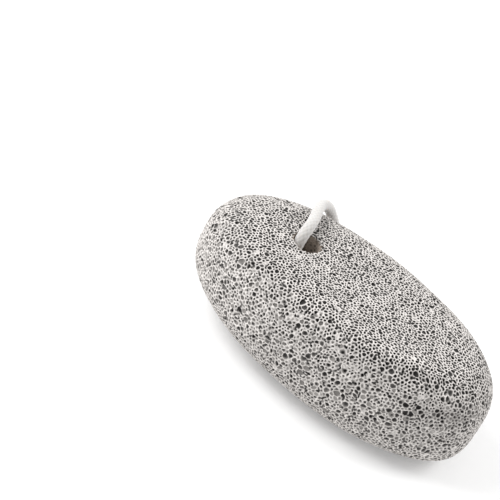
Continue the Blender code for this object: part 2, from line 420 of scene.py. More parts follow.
def pumice_finish(settings):
    """Light grey skin, painted light on the flat faces, painted shade in all pores and tiny holes, a
    brown-grey drilled wall and fine grain.
    """
    finish = Finish("pumice", settings.web_colour, STONE_ROUGHNESS)
    place = finish.place()
    depth = finish.attribute("pit_depth")
    drilled = finish.attribute("drilled")
    facing = finish.attribute("facing")
    mottle = finish.noise(place, MOTTLE_SCALE, STONE_DETAIL).ramp(*MOTTLE_RANGE)
    grain = finish.noise(place, GRAIN_SCALE, STONE_DETAIL)
    specks = finish.cells(place, SPECK_SCALE)
    web = Vector(settings.web_colour)
    pit_shade = Vector(settings.pit_shade_colour)
    wall = Vector(settings.hole_colour)
    skin = finish.mix(mottle, *(opaque(web * shade) for shade in MOTTLE_SHADES))
    skin = finish.mix(grain.ramp(*GRAIN_RANGE) * GRAIN_SHARE, skin, opaque(web * GRAIN_SHADE))
    # Painted light: lighter skin on the flat faces, by how much they face up or down.
    skin = finish.mix(facing * FACE_LIGHT_SHARE, skin, opaque(web * FACE_LIGHT_SHADE))
    # Painted shade: the pores turn towards the pore colour as they get deeper.
    inside = finish.mix(depth.ramp(*INSIDE_RANGE), skin, opaque(pit_shade))
    # Painted shade: near-black pinhole dots for the shade in tiny holes that have no depth of their own.
    pinhole_shadows = (1.0 - specks.ramp(*PINHOLE_RANGE)) * PINHOLE_SHARE
    inside = finish.mix(pinhole_shadows, inside, opaque(pit_shade * PINHOLE_SHADOW_TONE))
    # Painted shade: nearly black deep in the pores, more so on the flat faces.
    deep_shade = (depth * (facing * FACE_SHADE_GAIN + 1.0)).ramp(*DARK_RANGE)
    inside = finish.mix(deep_shade, inside, opaque(pit_shade * DEEP_SHADE_TONE))
    # Painted shade: darker spots for the shaded pores opened in the drilled wall.
    bore_pore_shadows = (1.0 - finish.cells(place, BORE_SCALE).ramp(*BORE_RANGE)) * BORE_SHARE
    bore = finish.mix(bore_pore_shadows, opaque(wall), opaque(wall * BORE_SHADOW_TONE))
    finish.feed("Base Color", finish.mix(drilled, inside, bore))
    height = grain * RELIEF_SHARES[0] + specks.ramp(*SPECK_RANGE) * RELIEF_SHARES[1]
    finish.feed("Normal", finish.bump(height, STONE_RELIEF, STONE_RELIEF_STRENGTH))
    return finish.material


def cord_finish(settings):
    """Soft off-white cotton: painted shade in the grooves between strands, and fine fibres."""
    finish = Finish("cord", settings.colour, CORD_ROUGHNESS)
    for socket, value in CORD_SOCKETS.items():
        finish.shader.inputs[socket].default_value = value
    groove = finish.attribute("groove").ramp(*GROOVE_RANGE)
    fibre = finish.noise(finish.place(), FIBRE_SCALE, FIBRE_DETAIL)
    tone = Vector(settings.colour)
    # Painted shade: the grooves between strands are darker.
    cotton = finish.mix(groove * GROOVE_SHARE, opaque(tone), opaque(tone * GROOVE_SHADE))
    cotton = finish.mix(fibre.ramp(*FIBRE_RANGE) * FIBRE_SHARE, cotton, opaque(tone * FIBRE_SHADE))
    finish.feed("Base Color", cotton)
    finish.feed("Normal", finish.bump(fibre, FIBRE_RELIEF, FIBRE_RELIEF_STRENGTH))
    return finish.material


# ---------------------------------------------------------------- the pebble

HALVINGS = 40
SLOPE_STEP = 0.01 * MM


def stone_level(points):
    """Return 1 on the pebble's skin, less inside and more outside.

    The distance in plan is a superellipse of the length and width; its sixth power or
    so, plus the height over the half thickness to the third power or so, is the level.
    """
    along, across, up = points.T
    plan = np.abs(along / HALF_LENGTH) ** PLAN_POWER + np.abs(across / HALF_WIDTH) ** PLAN_POWER
    half_height = HALF_THICKNESS * (1.0 + TAPER * along / HALF_LENGTH)
    return plan ** (RIM_POWER / PLAN_POWER) + np.abs(up / half_height) ** FACE_POWER


def onto_stone(points):
    """Slide points along their own radius onto the pebble's skin, by halving."""
    inner = np.zeros(len(points))
    outer = np.full(len(points), HALF_LENGTH * 2.0) / np.linalg.norm(points, axis=1)
    for _ in range(HALVINGS):
        middle = (inner + outer) / 2.0
        outside = stone_level(points * middle[:, None]) > 1.0
        outer = np.where(outside, middle, outer)
        inner = np.where(outside, inner, middle)
    return points * inner[:, None]


def outward_normals(points):
    """Return the pebble's unit normals, from the slope of its level."""
    slopes = []
    for step in np.eye(3) * SLOPE_STEP:
        slopes.append(stone_level(points + step) - stone_level(points - step))
    normals = np.stack(slopes, axis=1)
    return normals / np.linalg.norm(normals, axis=1)[:, None]


def stone_skin(directions):
    """Return the pebble's skin over unit directions, spread about evenly.

    A direction's run in plan is stretched to the superellipse, and the skin's
    height over it follows the profile's own powers.
    """
    along, across, up = directions.T
    reach = np.hypot(along, across)
    outline = (np.abs(along) ** PLAN_POWER + np.abs(across) ** PLAN_POWER) ** (1.0 / PLAN_POWER)
    stretch = reach / np.maximum(outline, 1e-9)
    rise = np.clip(1.0 - reach**RIM_POWER, 0.0, 1.0) ** (1.0 / FACE_POWER)
    half_height = HALF_THICKNESS * (1.0 + TAPER * along * stretch)
    return np.stack(
        [HALF_LENGTH * along * stretch, HALF_WIDTH * across * stretch, np.sign(up) * half_height * rise],
        axis=1,
    )


# How the pores are laid out. The rim is the band round the edge between the two ground
# faces, and it reaches up to RIM_HEIGHT on a unit direction.
AREA_STEPS = 361
GOLDEN_SHARE = (3.0 - math.sqrt(5.0)) / 2.0
RIM_HEIGHT = 0.15
FACE_FINENESS = 0.12
STRAY = 0.8
EVENING_ROUNDS = 5
PACKING_ROUNDS = 12
SPRING = 0.16
WIDTH_LIMITS = (0.64, 2.1)

# How each pore is shaped. A bowl is a shallow pore and a shaft is a deep one. A web, a
# floor or a tip that has no length is a share of the pore's own size or depth.
RIM_WEB = 1.25
FACE_WEB = 1.1
FACE_POWER_OF_WEB = 4
PORE_WEB_SPREAD = (0.6, 1.35)
CORNER_WEB_SPREAD = (0.55, 1.45)
MOUTH_LIMITS = (0.62, 0.93)
WEB_WEAR = 0.05 * MM
MERGED_SHARE = 0.008
MERGED_DEPTH = 0.2 * MM
FLOOR_UNDER_WEAR = 1.2
BOWL_DEPTHS = (0.28 * MM, 0.50 * MM)
BOWL_WIDTH = 0.78
BOWL_FLOOR = 0.8
SHAFT_DEPTHS = (0.65 * MM, 1.1 * MM)
SHAFT_WIDTH = 0.5
SHAFT_FLOOR = 0.45
SHAFT_SHARE = 0.35
FACE_SHAFT_SHARE = 0.65
FLOORED_SHARE = 0.15
TIP_STRAY = 0.22
FLOOR_STRAY = 0.5


def face_fineness(heights):
    """Return how much finer the pores are, more on the two ground faces than round the rim."""
    flatness = np.clip((np.abs(heights) - RIM_HEIGHT) / (1.0 - RIM_HEIGHT), 0.0, 1.0)
    return 1.0 + FACE_FINENESS * flatness * flatness * (3.0 - 2.0 * flatness)


def skin_area(heights, turns):
    """Return the skin's area in each step of height and turn of a unit direction."""
    reach = np.sqrt(np.maximum(1.0 - heights**2, 0.0))[:, None]
    directions = np.stack(
        [reach * np.cos(turns), reach * np.sin(turns), heights[:, None] + 0.0 * turns],
        axis=2,
    )
    skin = stone_skin(directions.reshape(-1, 3)).reshape(directions.shape)
    down = np.diff(skin, axis=0)
    round_about = np.diff(skin, axis=1)
    down = (down[:, 1:] + down[:, :-1]) / 2.0
    round_about = (round_about[1:] + round_about[:-1]) / 2.0
    return np.linalg.norm(np.cross(down, round_about), axis=2)


def scattered_directions(count, chance):
    """Return directions that scatter points all over the pebble at like distances.

    The points follow a golden spiral. Its height and turn are both warped, so that
    equal steps cover equal areas of the pebble's skin, and then each point strays.
    """
    heights = np.cos(np.linspace(0.0, math.pi, AREA_STEPS))
    turns = np.linspace(0.0, 2.0 * math.pi, AREA_STEPS)[None, :]
    between = (heights[1:] + heights[:-1]) / 2.0
    area = skin_area(heights, turns) * face_fineness(between)[:, None] ** 2
    band = np.concatenate([[0.0], np.cumsum(area.sum(axis=1))])
    index = np.arange(count) + 0.5
    row = np.interp(index / count * band[-1], band, np.arange(AREA_STEPS))
    share = (index * GOLDEN_SHARE) % 1.0
    within = np.cumsum(area, axis=1)
    within = np.hstack([np.zeros((len(within), 1)), within / within[:, -1:]])
    ladder = (within + np.arange(len(within))[:, None]).reshape(-1)
    turn_ladder = (turns + np.zeros((len(within), 1))).reshape(-1)
    rung = np.minimum(row.astype(int), AREA_STEPS - 2) + share * (1.0 - 1e-9)
    turn = np.interp(rung, ladder, turn_ladder)
    height = np.interp(row, np.arange(AREA_STEPS), heights)
    reach = np.sqrt(np.maximum(1.0 - height**2, 0.0))
    directions = np.stack([reach * np.cos(turn), reach * np.sin(turn), height], axis=1)
    directions += chance.normal(0.0, STRAY * math.sqrt(4.0 * math.pi / count), directions.shape)
    return directions / np.linalg.norm(directions, axis=1)[:, None]


def mesh_places(mesh):
    """Return a mesh's vertex places as an array."""
    places = np.empty(len(mesh.vertices) * 3, dtype=np.float32)
    mesh.vertices.foreach_get("co", places)
    return places.reshape(-1, 3).astype(float)


def set_mesh_places(mesh, places):
    """Move a mesh's vertices to the places in an array."""
    mesh.vertices.foreach_set("co", places.astype(np.float32).reshape(-1))


def mesh_triangles(mesh):
    """Return the corners of a mesh of triangles, one row for each."""
    corners = np.empty(len(mesh.polygons) * 3, dtype=np.int32)
    mesh.polygons.foreach_get("vertices", corners)
    return corners.reshape(-1, 3).astype(np.int64)


def rejoin(mesh, operation):
    """Run one bmesh operation on a mesh."""
    edited = bmesh.new()
    edited.from_mesh(mesh)
    operation(edited)
    edited.to_mesh(mesh)
    edited.free()


def wrap_hull(edited):
    """Join all points by their convex hull and turn its faces outwards."""
    bmesh.ops.convex_hull(edited, input=edited.verts[:])
    loose = [vertex for vertex in edited.verts if not vertex.link_faces]
    bmesh.ops.delete(edited, geom=loose, context="VERTS")
    bmesh.ops.recalc_face_normals(edited, faces=edited.faces)


def turn_edges(edited):
    """Turn edges where that gives better shaped triangles."""
    bmesh.ops.beautify_fill(edited, faces=edited.faces, edges=edited.edges)


def drawn_together(places, triangles):
    """Move each point to the area-weighted middle of the triangles round it."""
    corners = places[triangles]
    area = np.linalg.norm(np.cross(corners[:, 1] - corners[:, 0], corners[:, 2] - corners[:, 0]), axis=1)
    owner = triangles.reshape(-1)
    pull = np.repeat(corners.mean(axis=1) * area[:, None], 3, axis=0)
    total = np.bincount(owner, np.repeat(area, 3), len(places))
    moved = [np.bincount(owner, pull[:, axis], len(places)) for axis in range(3)]
    return np.stack(moved, axis=1) / total[:, None]


def pushed_apart(places, triangles, widths):
    """Move each point so that its distances to its neighbours suit both their widths.

    Each pair of neighbours pulls or pushes like a spring whose rest length is the sum
    of their widths, scaled so that all rest lengths together match the present ones.
    """
    owner = triangles.reshape(-1)
    ahead = np.roll(triangles, -1, axis=1).reshape(-1)
    gap = places[ahead] - places[owner]
    length = np.linalg.norm(gap, axis=1)
    rest = widths[owner] + widths[ahead]
    rest *= length.mean() / rest.mean()
    push = gap * (SPRING * (1.0 - rest / length))[:, None]
    moves = [np.bincount(owner, push[:, axis], len(places)) for axis in range(3)]
    return places + np.stack(moves, axis=1)


def pore_layout(settings, chance):
    """Return pore centres all over the pebble, their triangles and relative widths.

    The centres start on an even spiral and are joined by a convex hull. Every pore
    is given a width of its own, and the pores push each other apart like bubbles
    until each has the room that its width asks for.
    """
    mesh = bpy.data.meshes.new("pore_centres")
    mesh.from_pydata(scattered_directions(settings.pores, chance), [], [])
    rejoin(mesh, wrap_hull)
    count = len(mesh.vertices)
    widths = np.clip(np.exp(chance.normal(0.0, settings.variety, count)), *WIDTH_LIMITS)
    widths /= face_fineness(mesh_places(mesh)[:, 2])
    set_mesh_places(mesh, stone_skin(mesh_places(mesh)))
    for _ in range(EVENING_ROUNDS):
        rejoin(mesh, turn_edges)
        together = drawn_together(mesh_places(mesh), mesh_triangles(mesh))
        set_mesh_places(mesh, onto_stone(together))
    for _ in range(PACKING_ROUNDS):
        rejoin(mesh, turn_edges)
        apart = pushed_apart(mesh_places(mesh), mesh_triangles(mesh), widths)
        set_mesh_places(mesh, onto_stone(apart))
    rejoin(mesh, turn_edges)
    centres, triangles = mesh_places(mesh), mesh_triangles(mesh)
    bpy.data.meshes.remove(mesh)
    return centres, triangles, widths


def edge_finder(leaving):
    """Return a function that finds the corners that given directed edges leave."""
    order = np.argsort(leaving)
    return lambda wanted: order[np.searchsorted(leaving[order], wanted)]


def pore_mesh(settings):
    """Return the places and faces of the porous pebble, in its own frame.

    Three pore centres meet in each triangle, at a point nearer to the narrower pores.
    Each of the three pores has one rim point there, half a web short of the meeting.
    The rim points of one pore make its mouth, each worn down a little. The web is a small
    triangle in each meeting, and a strip along each pair of neighbours. Under a mouth lies
    a cone to one lowest point or, in the wider pores, a wall down to a rounded floor.
    """
    chance = np.random.default_rng(settings.seed)
    centres, triangles, widths = pore_layout(settings, chance)
    count, corners = len(centres), triangles.size
    owner = triangles.reshape(-1)
    ahead = np.roll(triangles, -1, axis=1).reshape(-1)
    behind = np.roll(triangles, 1, axis=1).reshape(-1)
    corner = np.arange(corners)
    ahead_corner = np.roll(corner.reshape(-1, 3), -1, axis=1).reshape(-1)
    find = edge_finder(owner * count + ahead)
    after = find(owner * count + behind)
    twin = find(ahead * count + owner)

    nearness = 1.0 / widths[triangles]
    nearness /= nearness.sum(axis=1)[:, None]
    meeting = onto_stone(np.einsum("ij,ijk->ik", nearness, centres[triangles]))
    spoke = np.repeat(meeting, 3, axis=0) - centres[owner]
    reach = np.linalg.norm(spoke, axis=1)
    half_width = np.bincount(owner, reach, count) / np.bincount(owner, minlength=count)
    normals = outward_normals(centres)
    on_face = normals[:, 2] ** FACE_POWER_OF_WEB
    web = settings.web * (RIM_WEB + (FACE_WEB - RIM_WEB) * on_face)
    web = web * chance.uniform(*PORE_WEB_SPREAD, count)
    web = web[owner] * chance.uniform(*CORNER_WEB_SPREAD, corners)
    shrink = np.clip(1.0 - web / 2.0 / reach, *MOUTH_LIMITS)[:, None]
    wide = half_width * np.bincount(owner, shrink[:, 0], count) / np.bincount(owner, minlength=count)
    floored = wide > np.quantile(wide, 1.0 - FLOORED_SHARE)
    slender = np.median(wide) / wide
    shaft = chance.random(count) < (SHAFT_SHARE + FACE_SHAFT_SHARE * on_face) * slender**2
    bowl_depth = chance.uniform(*BOWL_DEPTHS, count)
    shaft_depth = chance.uniform(*SHAFT_DEPTHS, count)
    depth = settings.depth * np.where(shaft, shaft_depth, bowl_depth)

    once = owner < ahead
    merged = once & (chance.random(corners) < MERGED_SHARE)
    ends = np.concatenate([corner[merged], ahead_corner[merged], twin[merged], ahead_corner[twin[merged]]])
    drop = np.where(np.bincount(ends, minlength=corners) > 0, MERGED_DEPTH, 0.0)[:, None]
    stray = chance.normal(0.0, TIP_STRAY, (count, 3)) * wide[:, None]
    worn = np.maximum(drop, np.abs(chance.normal(0.0, WEB_WEAR, corners))[:, None])
    rim = onto_stone(centres[owner] + spoke * shrink) - normals[owner] * worn
    bottom = centres + stray
    narrowed = np.where(shaft, SHAFT_WIDTH, BOWL_WIDTH)[owner][:, None]
    sunk = (depth * np.where(shaft, SHAFT_FLOOR, BOWL_FLOOR))[owner][:, None]
    floor = centres[owner] + spoke * shrink * narrowed + stray[owner] * FLOOR_STRAY
    floor = floor - normals[owner] * np.maximum(sunk, worn * FLOOR_UNDER_WEAR)
    lowest = bottom - normals * depth[:, None]

    places = np.vstack([rim, floor, lowest])
    foot, tip = corner + corners, owner + 2 * corners
    lined = floored[owner]
    meetings = corner.reshape(-1, 3)
    strips = np.stack([ahead_corner[twin], twin, ahead_corner, corner], axis=1)[once]
    walls = np.stack([corner, after, foot[after], foot], axis=1)[lined]
    floors = np.stack([foot, foot[after], tip], axis=1)[lined]
    cones = np.stack([corner, after, tip], axis=1)[~lined]
    return places, [meetings, strips, walls, floors, cones]


def mesh_from_arrays(name, places, face_groups):
    """Make a mesh from an array of places and arrays of faces, unused places left out."""
    corners = np.concatenate([faces.reshape(-1) for faces in face_groups])
    sizes = np.concatenate([np.full(len(faces), faces.shape[1]) for faces in face_groups])
    used, corners = np.unique(corners, return_inverse=True)
    mesh = bpy.data.meshes.new(name)
    mesh.vertices.add(len(used))
    mesh.vertices.foreach_set("co", places[used].astype(np.float32).reshape(-1))
    mesh.loops.add(len(corners))
    mesh.loops.foreach_set("vertex_index", corners.reshape(-1).astype(np.int32))
    mesh.polygons.add(len(sizes))
    starts = np.concatenate([[0], np.cumsum(sizes)[:-1]])
    mesh.polygons.foreach_set("loop_start", starts.astype(np.int32))
    mesh.update(calc_edges=True)
    mesh.validate()
    return mesh


def set_attribute(mesh, name, values):
    """Store one number for each vertex of a mesh."""
    layer = mesh.attributes.new(name, "FLOAT", "POINT")
    layer.data.foreach_set("value", values.astype(np.float32))


def new_object(name, mesh):
    """Add a mesh to the scene as an object at the origin."""
    made = bpy.data.objects.new(name, mesh)
    bpy.context.scene.collection.objects.link(made)
    return made


def applied_mesh(made):
    """Return a new mesh of an object as its modifiers leave it."""
    depsgraph = bpy.context.evaluated_depsgraph_get()
    return bpy.data.meshes.new_from_object(made.evaluated_get(depsgraph))


DRILL_SIDES = 56
DRILL_RINGS = 56
DRILL_OVERRUN = 2.5 * MM
DRILL_ROUGHNESS = 0.1 * MM
DRILL_SEED = 4


def drill_mesh(seed):
    """Return the closed shape of the drilled hole.

    A profile that is straight between the stone's faces and flares at 45 degrees at
    both mouths, turned round the hole's axis, with a little unevenness on its wall.
    """
    chance = np.random.default_rng(seed)
    low, high = HOLE_FACE_HEIGHTS
    heights = np.linspace(low - DRILL_OVERRUN, high + DRILL_OVERRUN, DRILL_RINGS)[:, None]
    angles = np.linspace(0.0, 2.0 * math.pi, DRILL_SIDES, endpoint=False)[None, :]
    flare = np.maximum(heights - (high - HOLE_MOUTH_WEAR), (low + HOLE_MOUTH_WEAR) - heights)
    radius = HOLE_RADIUS + np.maximum(flare, 0.0)
    radius = radius + chance.normal(0.0, DRILL_ROUGHNESS, (DRILL_RINGS, DRILL_SIDES))
    places = np.stack(
        [HOLE_X + radius * np.cos(angles), radius * np.sin(angles), heights + 0.0 * radius],
        axis=2,
    ).reshape(-1, 3)
    index = np.arange(DRILL_RINGS * DRILL_SIDES).reshape(DRILL_RINGS, DRILL_SIDES)
    beside = np.roll(index, -1, axis=1)
    wall = np.stack([index[:-1], beside[:-1], beside[1:], index[1:]], axis=2).reshape(-1, 4)
    bottom = index[0][::-1][None, :]
    top = index[-1][None, :]
    return mesh_from_arrays("drill", places, [wall, bottom, top])


def join_cut_edges(edited):
    """Clean up a cut mesh, so that no two of its triangles can end up back to back.

    Points that only two faces share are dissolved, so that the two meet in one straight
    edge, and faces of more than four sides are split into triangles.
    """
    between = [vertex for vertex in edited.verts if len(vertex.link_edges) == 2]
    bmesh.ops.dissolve_verts(edited, verts=between)
    many_sided = [face for face in edited.faces if len(face.verts) > 4]
    bmesh.ops.triangulate(edited, faces=many_sided)


def drilled(mesh):
    """Return a mesh with the hole cut through it."""
    body = new_object("uncut_stone", mesh)
    drill = new_object("drill", drill_mesh(DRILL_SEED))
    cut = body.modifiers.new("Hole", "BOOLEAN")
    cut.operation = "DIFFERENCE"
    cut.solver = "EXACT"
    cut.object = drill
    result = applied_mesh(body)
    rejoin(result, join_cut_edges)
    bpy.data.objects.remove(body)
    bpy.data.objects.remove(drill)
    return result


# Where the pebble leaves its plain form: a worn ridge over a hollow along the front of
# the solid end, and a fuller corner low on that end. Each turn is an angle up the
# pebble's profile in degrees, from 0 at the rim to 90 on top, and its spread.
RIDGE_TURN = (54.0, 8.0)
RIDGE_HEIGHT = 0.6 * MM
HOLLOW_TURN = (31.0, 10.0)
HOLLOW_DEPTH = 0.9 * MM
HOLLOW_START = -12.0 * MM
HOLLOW_FULL = 14.0 * MM
CORNER_PLACE = np.array((48.5, -7.0, -6.0)) * MM
CORNER_SPREAD = 8.0 * MM
CORNER_HEIGHT = 1.2 * MM
FRONT_RUN = 12.0 * MM
WAVE_UNIT = 10.0 * MM
WAVE_DEPTH = 0.16 * MM
WAVE_SHARES = (0.6, 0.4)


def hump(values, middle, spread):
    """Return a bell curve that is 1 at the middle."""
    return np.exp(-(((values - middle) / spread) ** 2))


def broad_dents(points):
    """Return how far the skin lies below the plain form.

    Waves in different directions, a few centimetres long, are multiplied in pairs and
    added, so that the ground faces are not perfectly even. The hollow is added, and
    the ridge and the fuller corner are taken off, each as a bell curve.
    """
    along, across, up = (points / WAVE_UNIT).T
    first = np.sin(1.9 * along + 0.7 * across) * np.sin(2.3 * across - 1.1 * up + 1.0)
    second = np.sin(1.2 * along - 1.6 * across + 2.0) * np.sin(1.5 * up + 0.9 * along)
    waves = WAVE_DEPTH * (1.0 + WAVE_SHARES[0] * first + WAVE_SHARES[1] * second)
    plan = np.abs(points[:, :2] / (HALF_LENGTH, HALF_WIDTH)) ** PLAN_POWER
    reach = (plan[:, 0] + plan[:, 1]) ** (1.0 / PLAN_POWER)
    turn = np.degrees(np.arctan2(points[:, 2] / HALF_THICKNESS, reach))
    hollow = HOLLOW_DEPTH * hump(turn, *HOLLOW_TURN)
    ridge = RIDGE_HEIGHT * hump(turn, *RIDGE_TURN)
    reached = np.clip((points[:, 0] - HOLLOW_START) / (HOLLOW_FULL - HOLLOW_START), 0.0, 1.0)
    in_front = np.clip(-points[:, 1] / FRONT_RUN, 0.0, 1.0)
    from_corner = np.linalg.norm(points - CORNER_PLACE, axis=1)
    corner = CORNER_HEIGHT * hump(from_corner, 0.0, CORNER_SPREAD)
    return waves + (hollow - ridge) * reached * in_front - corner


# What the stone's finish reads. The drilled wall starts a little way down the mouth.
DEEPEST = 1.2 * MM
WALL_REACH = 0.4 * MM
WALL_START = 0.12 * MM
FACE_POWER_OF_COLOUR = 6
SHARP_ANGLE = math.radians(44.0)


def make_stone(settings):
    """Make the whole stone: pores, broad dents, the flat foot and the hole."""
    places, faces = pore_mesh(settings)
    places = places - outward_normals(places) * broad_dents(places)[:, None]
    pose = np.array(STONE_POSE)
    places = places @ pose[:3, :3].T + pose[:3, 3]
    places[:, 2] = np.maximum(places[:, 2], 0.0)
    mesh = drilled(mesh_from_arrays("stone_skin", places, faces))
    final = mesh_places(mesh)
    own = (final - pose[:3, 3]) @ pose[:3, :3]
    skin = onto_stone(own)
    normals = outward_normals(skin)
    sunk = np.einsum("ij,ij->i", skin - own, normals) - broad_dents(own)
    from_axis = np.hypot(final[:, 0] - HOLE_X, final[:, 1])
    on_wall = (from_axis < HOLE_RADIUS + WALL_REACH) & (sunk > WALL_START)
    # How deep each point lies below the skin: it sets the painted shade in the pores.
    set_attribute(mesh, "pit_depth", np.clip(sunk / DEEPEST, 0.0, 1.0))
    set_attribute(mesh, "drilled", on_wall.astype(float))
    # How much the skin faces up or down: it sets the painted light on the flat faces and the stronger
    # painted shade in their pores.
    set_attribute(mesh, "facing", normals[:, 2] ** FACE_POWER_OF_COLOUR)
    mesh.shade_smooth()
    mesh.set_sharp_from_angle(angle=SHARP_ANGLE)
    return new_object("porous_stone", mesh)


# ---------------------------------------------------------------- the cord

LOOP_STATIONS = 820
LOOP_SIDES = 44
KNOT_STATIONS = 420
KNOT_SIDES = 40
STRETCH_STEPS = 40
LENS_FADE = 0.75
CAP_SHADE = 0.5
TIGHT_REACH = 7.0 * MM
TIGHT_RUN = 3.5 * MM
ENDING_RUN = 0.9 * MM
ENDING_LEAST = 0.02
ENTRY_RUN = 3.6 * MM
LEAVING_RUN = 4.0 * MM


def run_along(path):
    """Return the length of a path up to each of its places."""
    return np.concatenate([[0.0], np.cumsum(np.linalg.norm(np.diff(path, axis=0), axis=1))])


def smooth_route(points, stations):
    """Return evenly spaced places on one smooth curve through the given points.

    Each stretch is a cubic whose slope at a point is the chord of its neighbours.
    """
    route = np.array(points)
    slopes = np.gradient(route, axis=0)
    phase = np.linspace(0.0, 1.0, STRETCH_STEPS, endpoint=False)[:, None]
    stretches = []
    for index in range(len(route) - 1):
        start, end = route[index], route[index + 1]
        leave, arrive = slopes[index], slopes[index + 1]
        stretches.append(
            (2 * phase**3 - 3 * phase**2 + 1) * start
            + (phase**3 - 2 * phase**2 + phase) * leave
            + (3 * phase**2 - 2 * phase**3) * end
            + (phase**3 - phase**2) * arrive
        )
    fine = np.vstack(stretches + [route[-1:]])
    run = run_along(fine)
    wanted = np.linspace(0.0, run[-1], stations)
    return np.stack([np.interp(wanted, run, fine[:, axis]) for axis in range(3)], axis=1)


def carried_frames(path):
    """Return two directions square to a path at each station, carried without twist."""
    heading = np.gradient(path, axis=0)
    heading /= np.linalg.norm(heading, axis=1)[:, None]
    side = np.cross(heading[0], (0.0, 0.0, 1.0))
    sides = []
    for ahead in heading:
        side = side - ahead * np.dot(side, ahead)
        side = side / np.linalg.norm(side)
        sides.append(side)
    sides = np.array(sides)
    return sides, np.cross(heading, sides)


def braid_height(turn, run, strands, plait):
    """Return the height of a round braid, 1 on a strand's back and 0 in a groove.

    Two families of strands wind opposite ways. Where they cross, one lies over the
    other, by turns, so each crossing shows one short lens of the strand on top.
    """
    first = strands * (turn / (2.0 * math.pi) + run / plait)
    second = strands * (turn / (2.0 * math.pi) - run / plait)
    first_part = first - np.floor(first) - 0.5
    second_part = second - np.floor(second) - 0.5
    over = (np.floor(first) + np.floor(second)) % 2 < 1
    across = np.where(over, first_part, second_part)
    lengthwise = np.where(over, second_part, first_part)
    lens = 1.0 - (2.0 * across) ** 2
    return lens * (1.0 - LENS_FADE * (2.0 * lengthwise) ** 2)


def braided_tube(path, radii, settings, sides):
    """Return places, faces and groove shades of a braided cord along a path.

    The surface is a circle carried along the path. Its radius is the cord's own plus
    the relief on the strands' backs. A fan of triangles closes each end, and what
    would lie under the floor is pressed flat.
    """
    out, up = carried_frames(path)
    run = run_along(path)[:, None]
    turn = np.linspace(0.0, 2.0 * math.pi, sides, endpoint=False)
    height = braid_height(turn[None, :], run, settings.strands, settings.plait)
    radius = radii[:, None] + settings.relief * height
    ring = np.cos(turn)[None, :, None] * out[:, None] + np.sin(turn)[None, :, None] * up[:, None]
    places = (path[:, None] + ring * radius[..., None]).reshape(-1, 3)
    index = np.arange(len(path) * sides).reshape(len(path), sides)
    beside = np.roll(index, -1, axis=1)
    skin = np.stack([index[:-1], beside[:-1], beside[1:], index[1:]], axis=2).reshape(-1, 4)
    places = np.vstack([places, path[:1], path[-1:]])
    places[:, 2] = np.maximum(places[:, 2], 0.0)
    first_tip = np.full(sides, len(places) - 2)
    last_tip = np.full(sides, len(places) - 1)
    first_cap = np.stack([beside[0], index[0], first_tip], axis=1)
    last_cap = np.stack([index[-1], beside[-1], last_tip], axis=1)
    # The groove value sets the painted shade between strands; the end caps get half of it.
    shade = np.concatenate([1.0 - height.reshape(-1), [CAP_SHADE, CAP_SHADE]])
    return places, [skin, first_cap, last_cap], shade


def joined_tubes(name, tubes):
    """Join several tubes into one mesh with their groove shades."""
    all_places, all_faces, all_shades = [], [], []
    first = 0
    for places, faces, shade in tubes:
        all_places.append(places)
        all_faces.extend(group + first for group in faces)
        all_shades.append(shade)
        first += len(places)
    mesh = mesh_from_arrays(name, np.vstack(all_places), all_faces)
    set_attribute(mesh, "groove", np.concatenate(all_shades))
    mesh.shade_smooth()
    return mesh


def knot_axes():
    """Return the knot's axes: along the cords, out to the cords' line, across."""
    along = np.array([1.0, 0.0, 0.0])
    outward = np.array([0.0, math.sin(KNOT_LEAN), -math.cos(KNOT_LEAN)])
    return along, outward, np.cross(along, outward)


def knot_path(side, tail_end):
    """Return one cord's path through the knot, from its mouth to its tail's end.

    The cord winds twice round a ring and three times about the ring's own core,
    which is an overhand knot. The other cord lies beside it all the way.
    """
    along, outward, across = knot_axes()
    centre = KNOT_LINE - (KNOT_RING_RADIUS + KNOT_WRAP_RADIUS) * outward
    turn = np.linspace(KNOT_OPENING, 4.0 * math.pi - KNOT_OPENING, KNOT_LOOP_STATIONS)[:, None]
    spoke = np.sin(turn) * along + np.cos(turn) * outward
    lean = np.cos(1.5 * turn) * spoke + np.sin(1.5 * turn) * across
    loop = centre + KNOT_RING_RADIUS * spoke + KNOT_WRAP_RADIUS * lean
    heading = np.gradient(loop, axis=0)
    beside = np.cross(heading, lean)
    beside /= np.linalg.norm(beside, axis=1)[:, None]
    loop = loop + side * KNOT_STRAND_SPREAD * beside
    mouth = KNOT_LINE + side * KNOT_MOUTH_SPREAD * across
    mouth[0] = KNOT_MOUTH_X
    throat = KNOT_LINE + side * KNOT_STRAND_SPREAD * across
    entry = throat + KNOT_WRAP_RADIUS * across - ENTRY_RUN * along
    leave = throat - KNOT_WRAP_RADIUS * across + LEAVING_RUN * along
    tail = np.array(tail_end) * MM
    droop = (leave + tail) / 2.0
    return np.vstack([mouth, entry, loop, leave, droop, tail])


def make_cord(settings):
    """Make the braided loop, whose ends meet the knot's two cords, and return its path."""
    path = smooth_route(np.array(CORD_ROUTE) * MM, LOOP_STATIONS)
    radii = np.full(len(path), settings.diameter / 2.0)
    mesh = joined_tubes("braid", [braided_tube(path, radii, settings, LOOP_SIDES)])
    return new_object("braided_loop", mesh), path


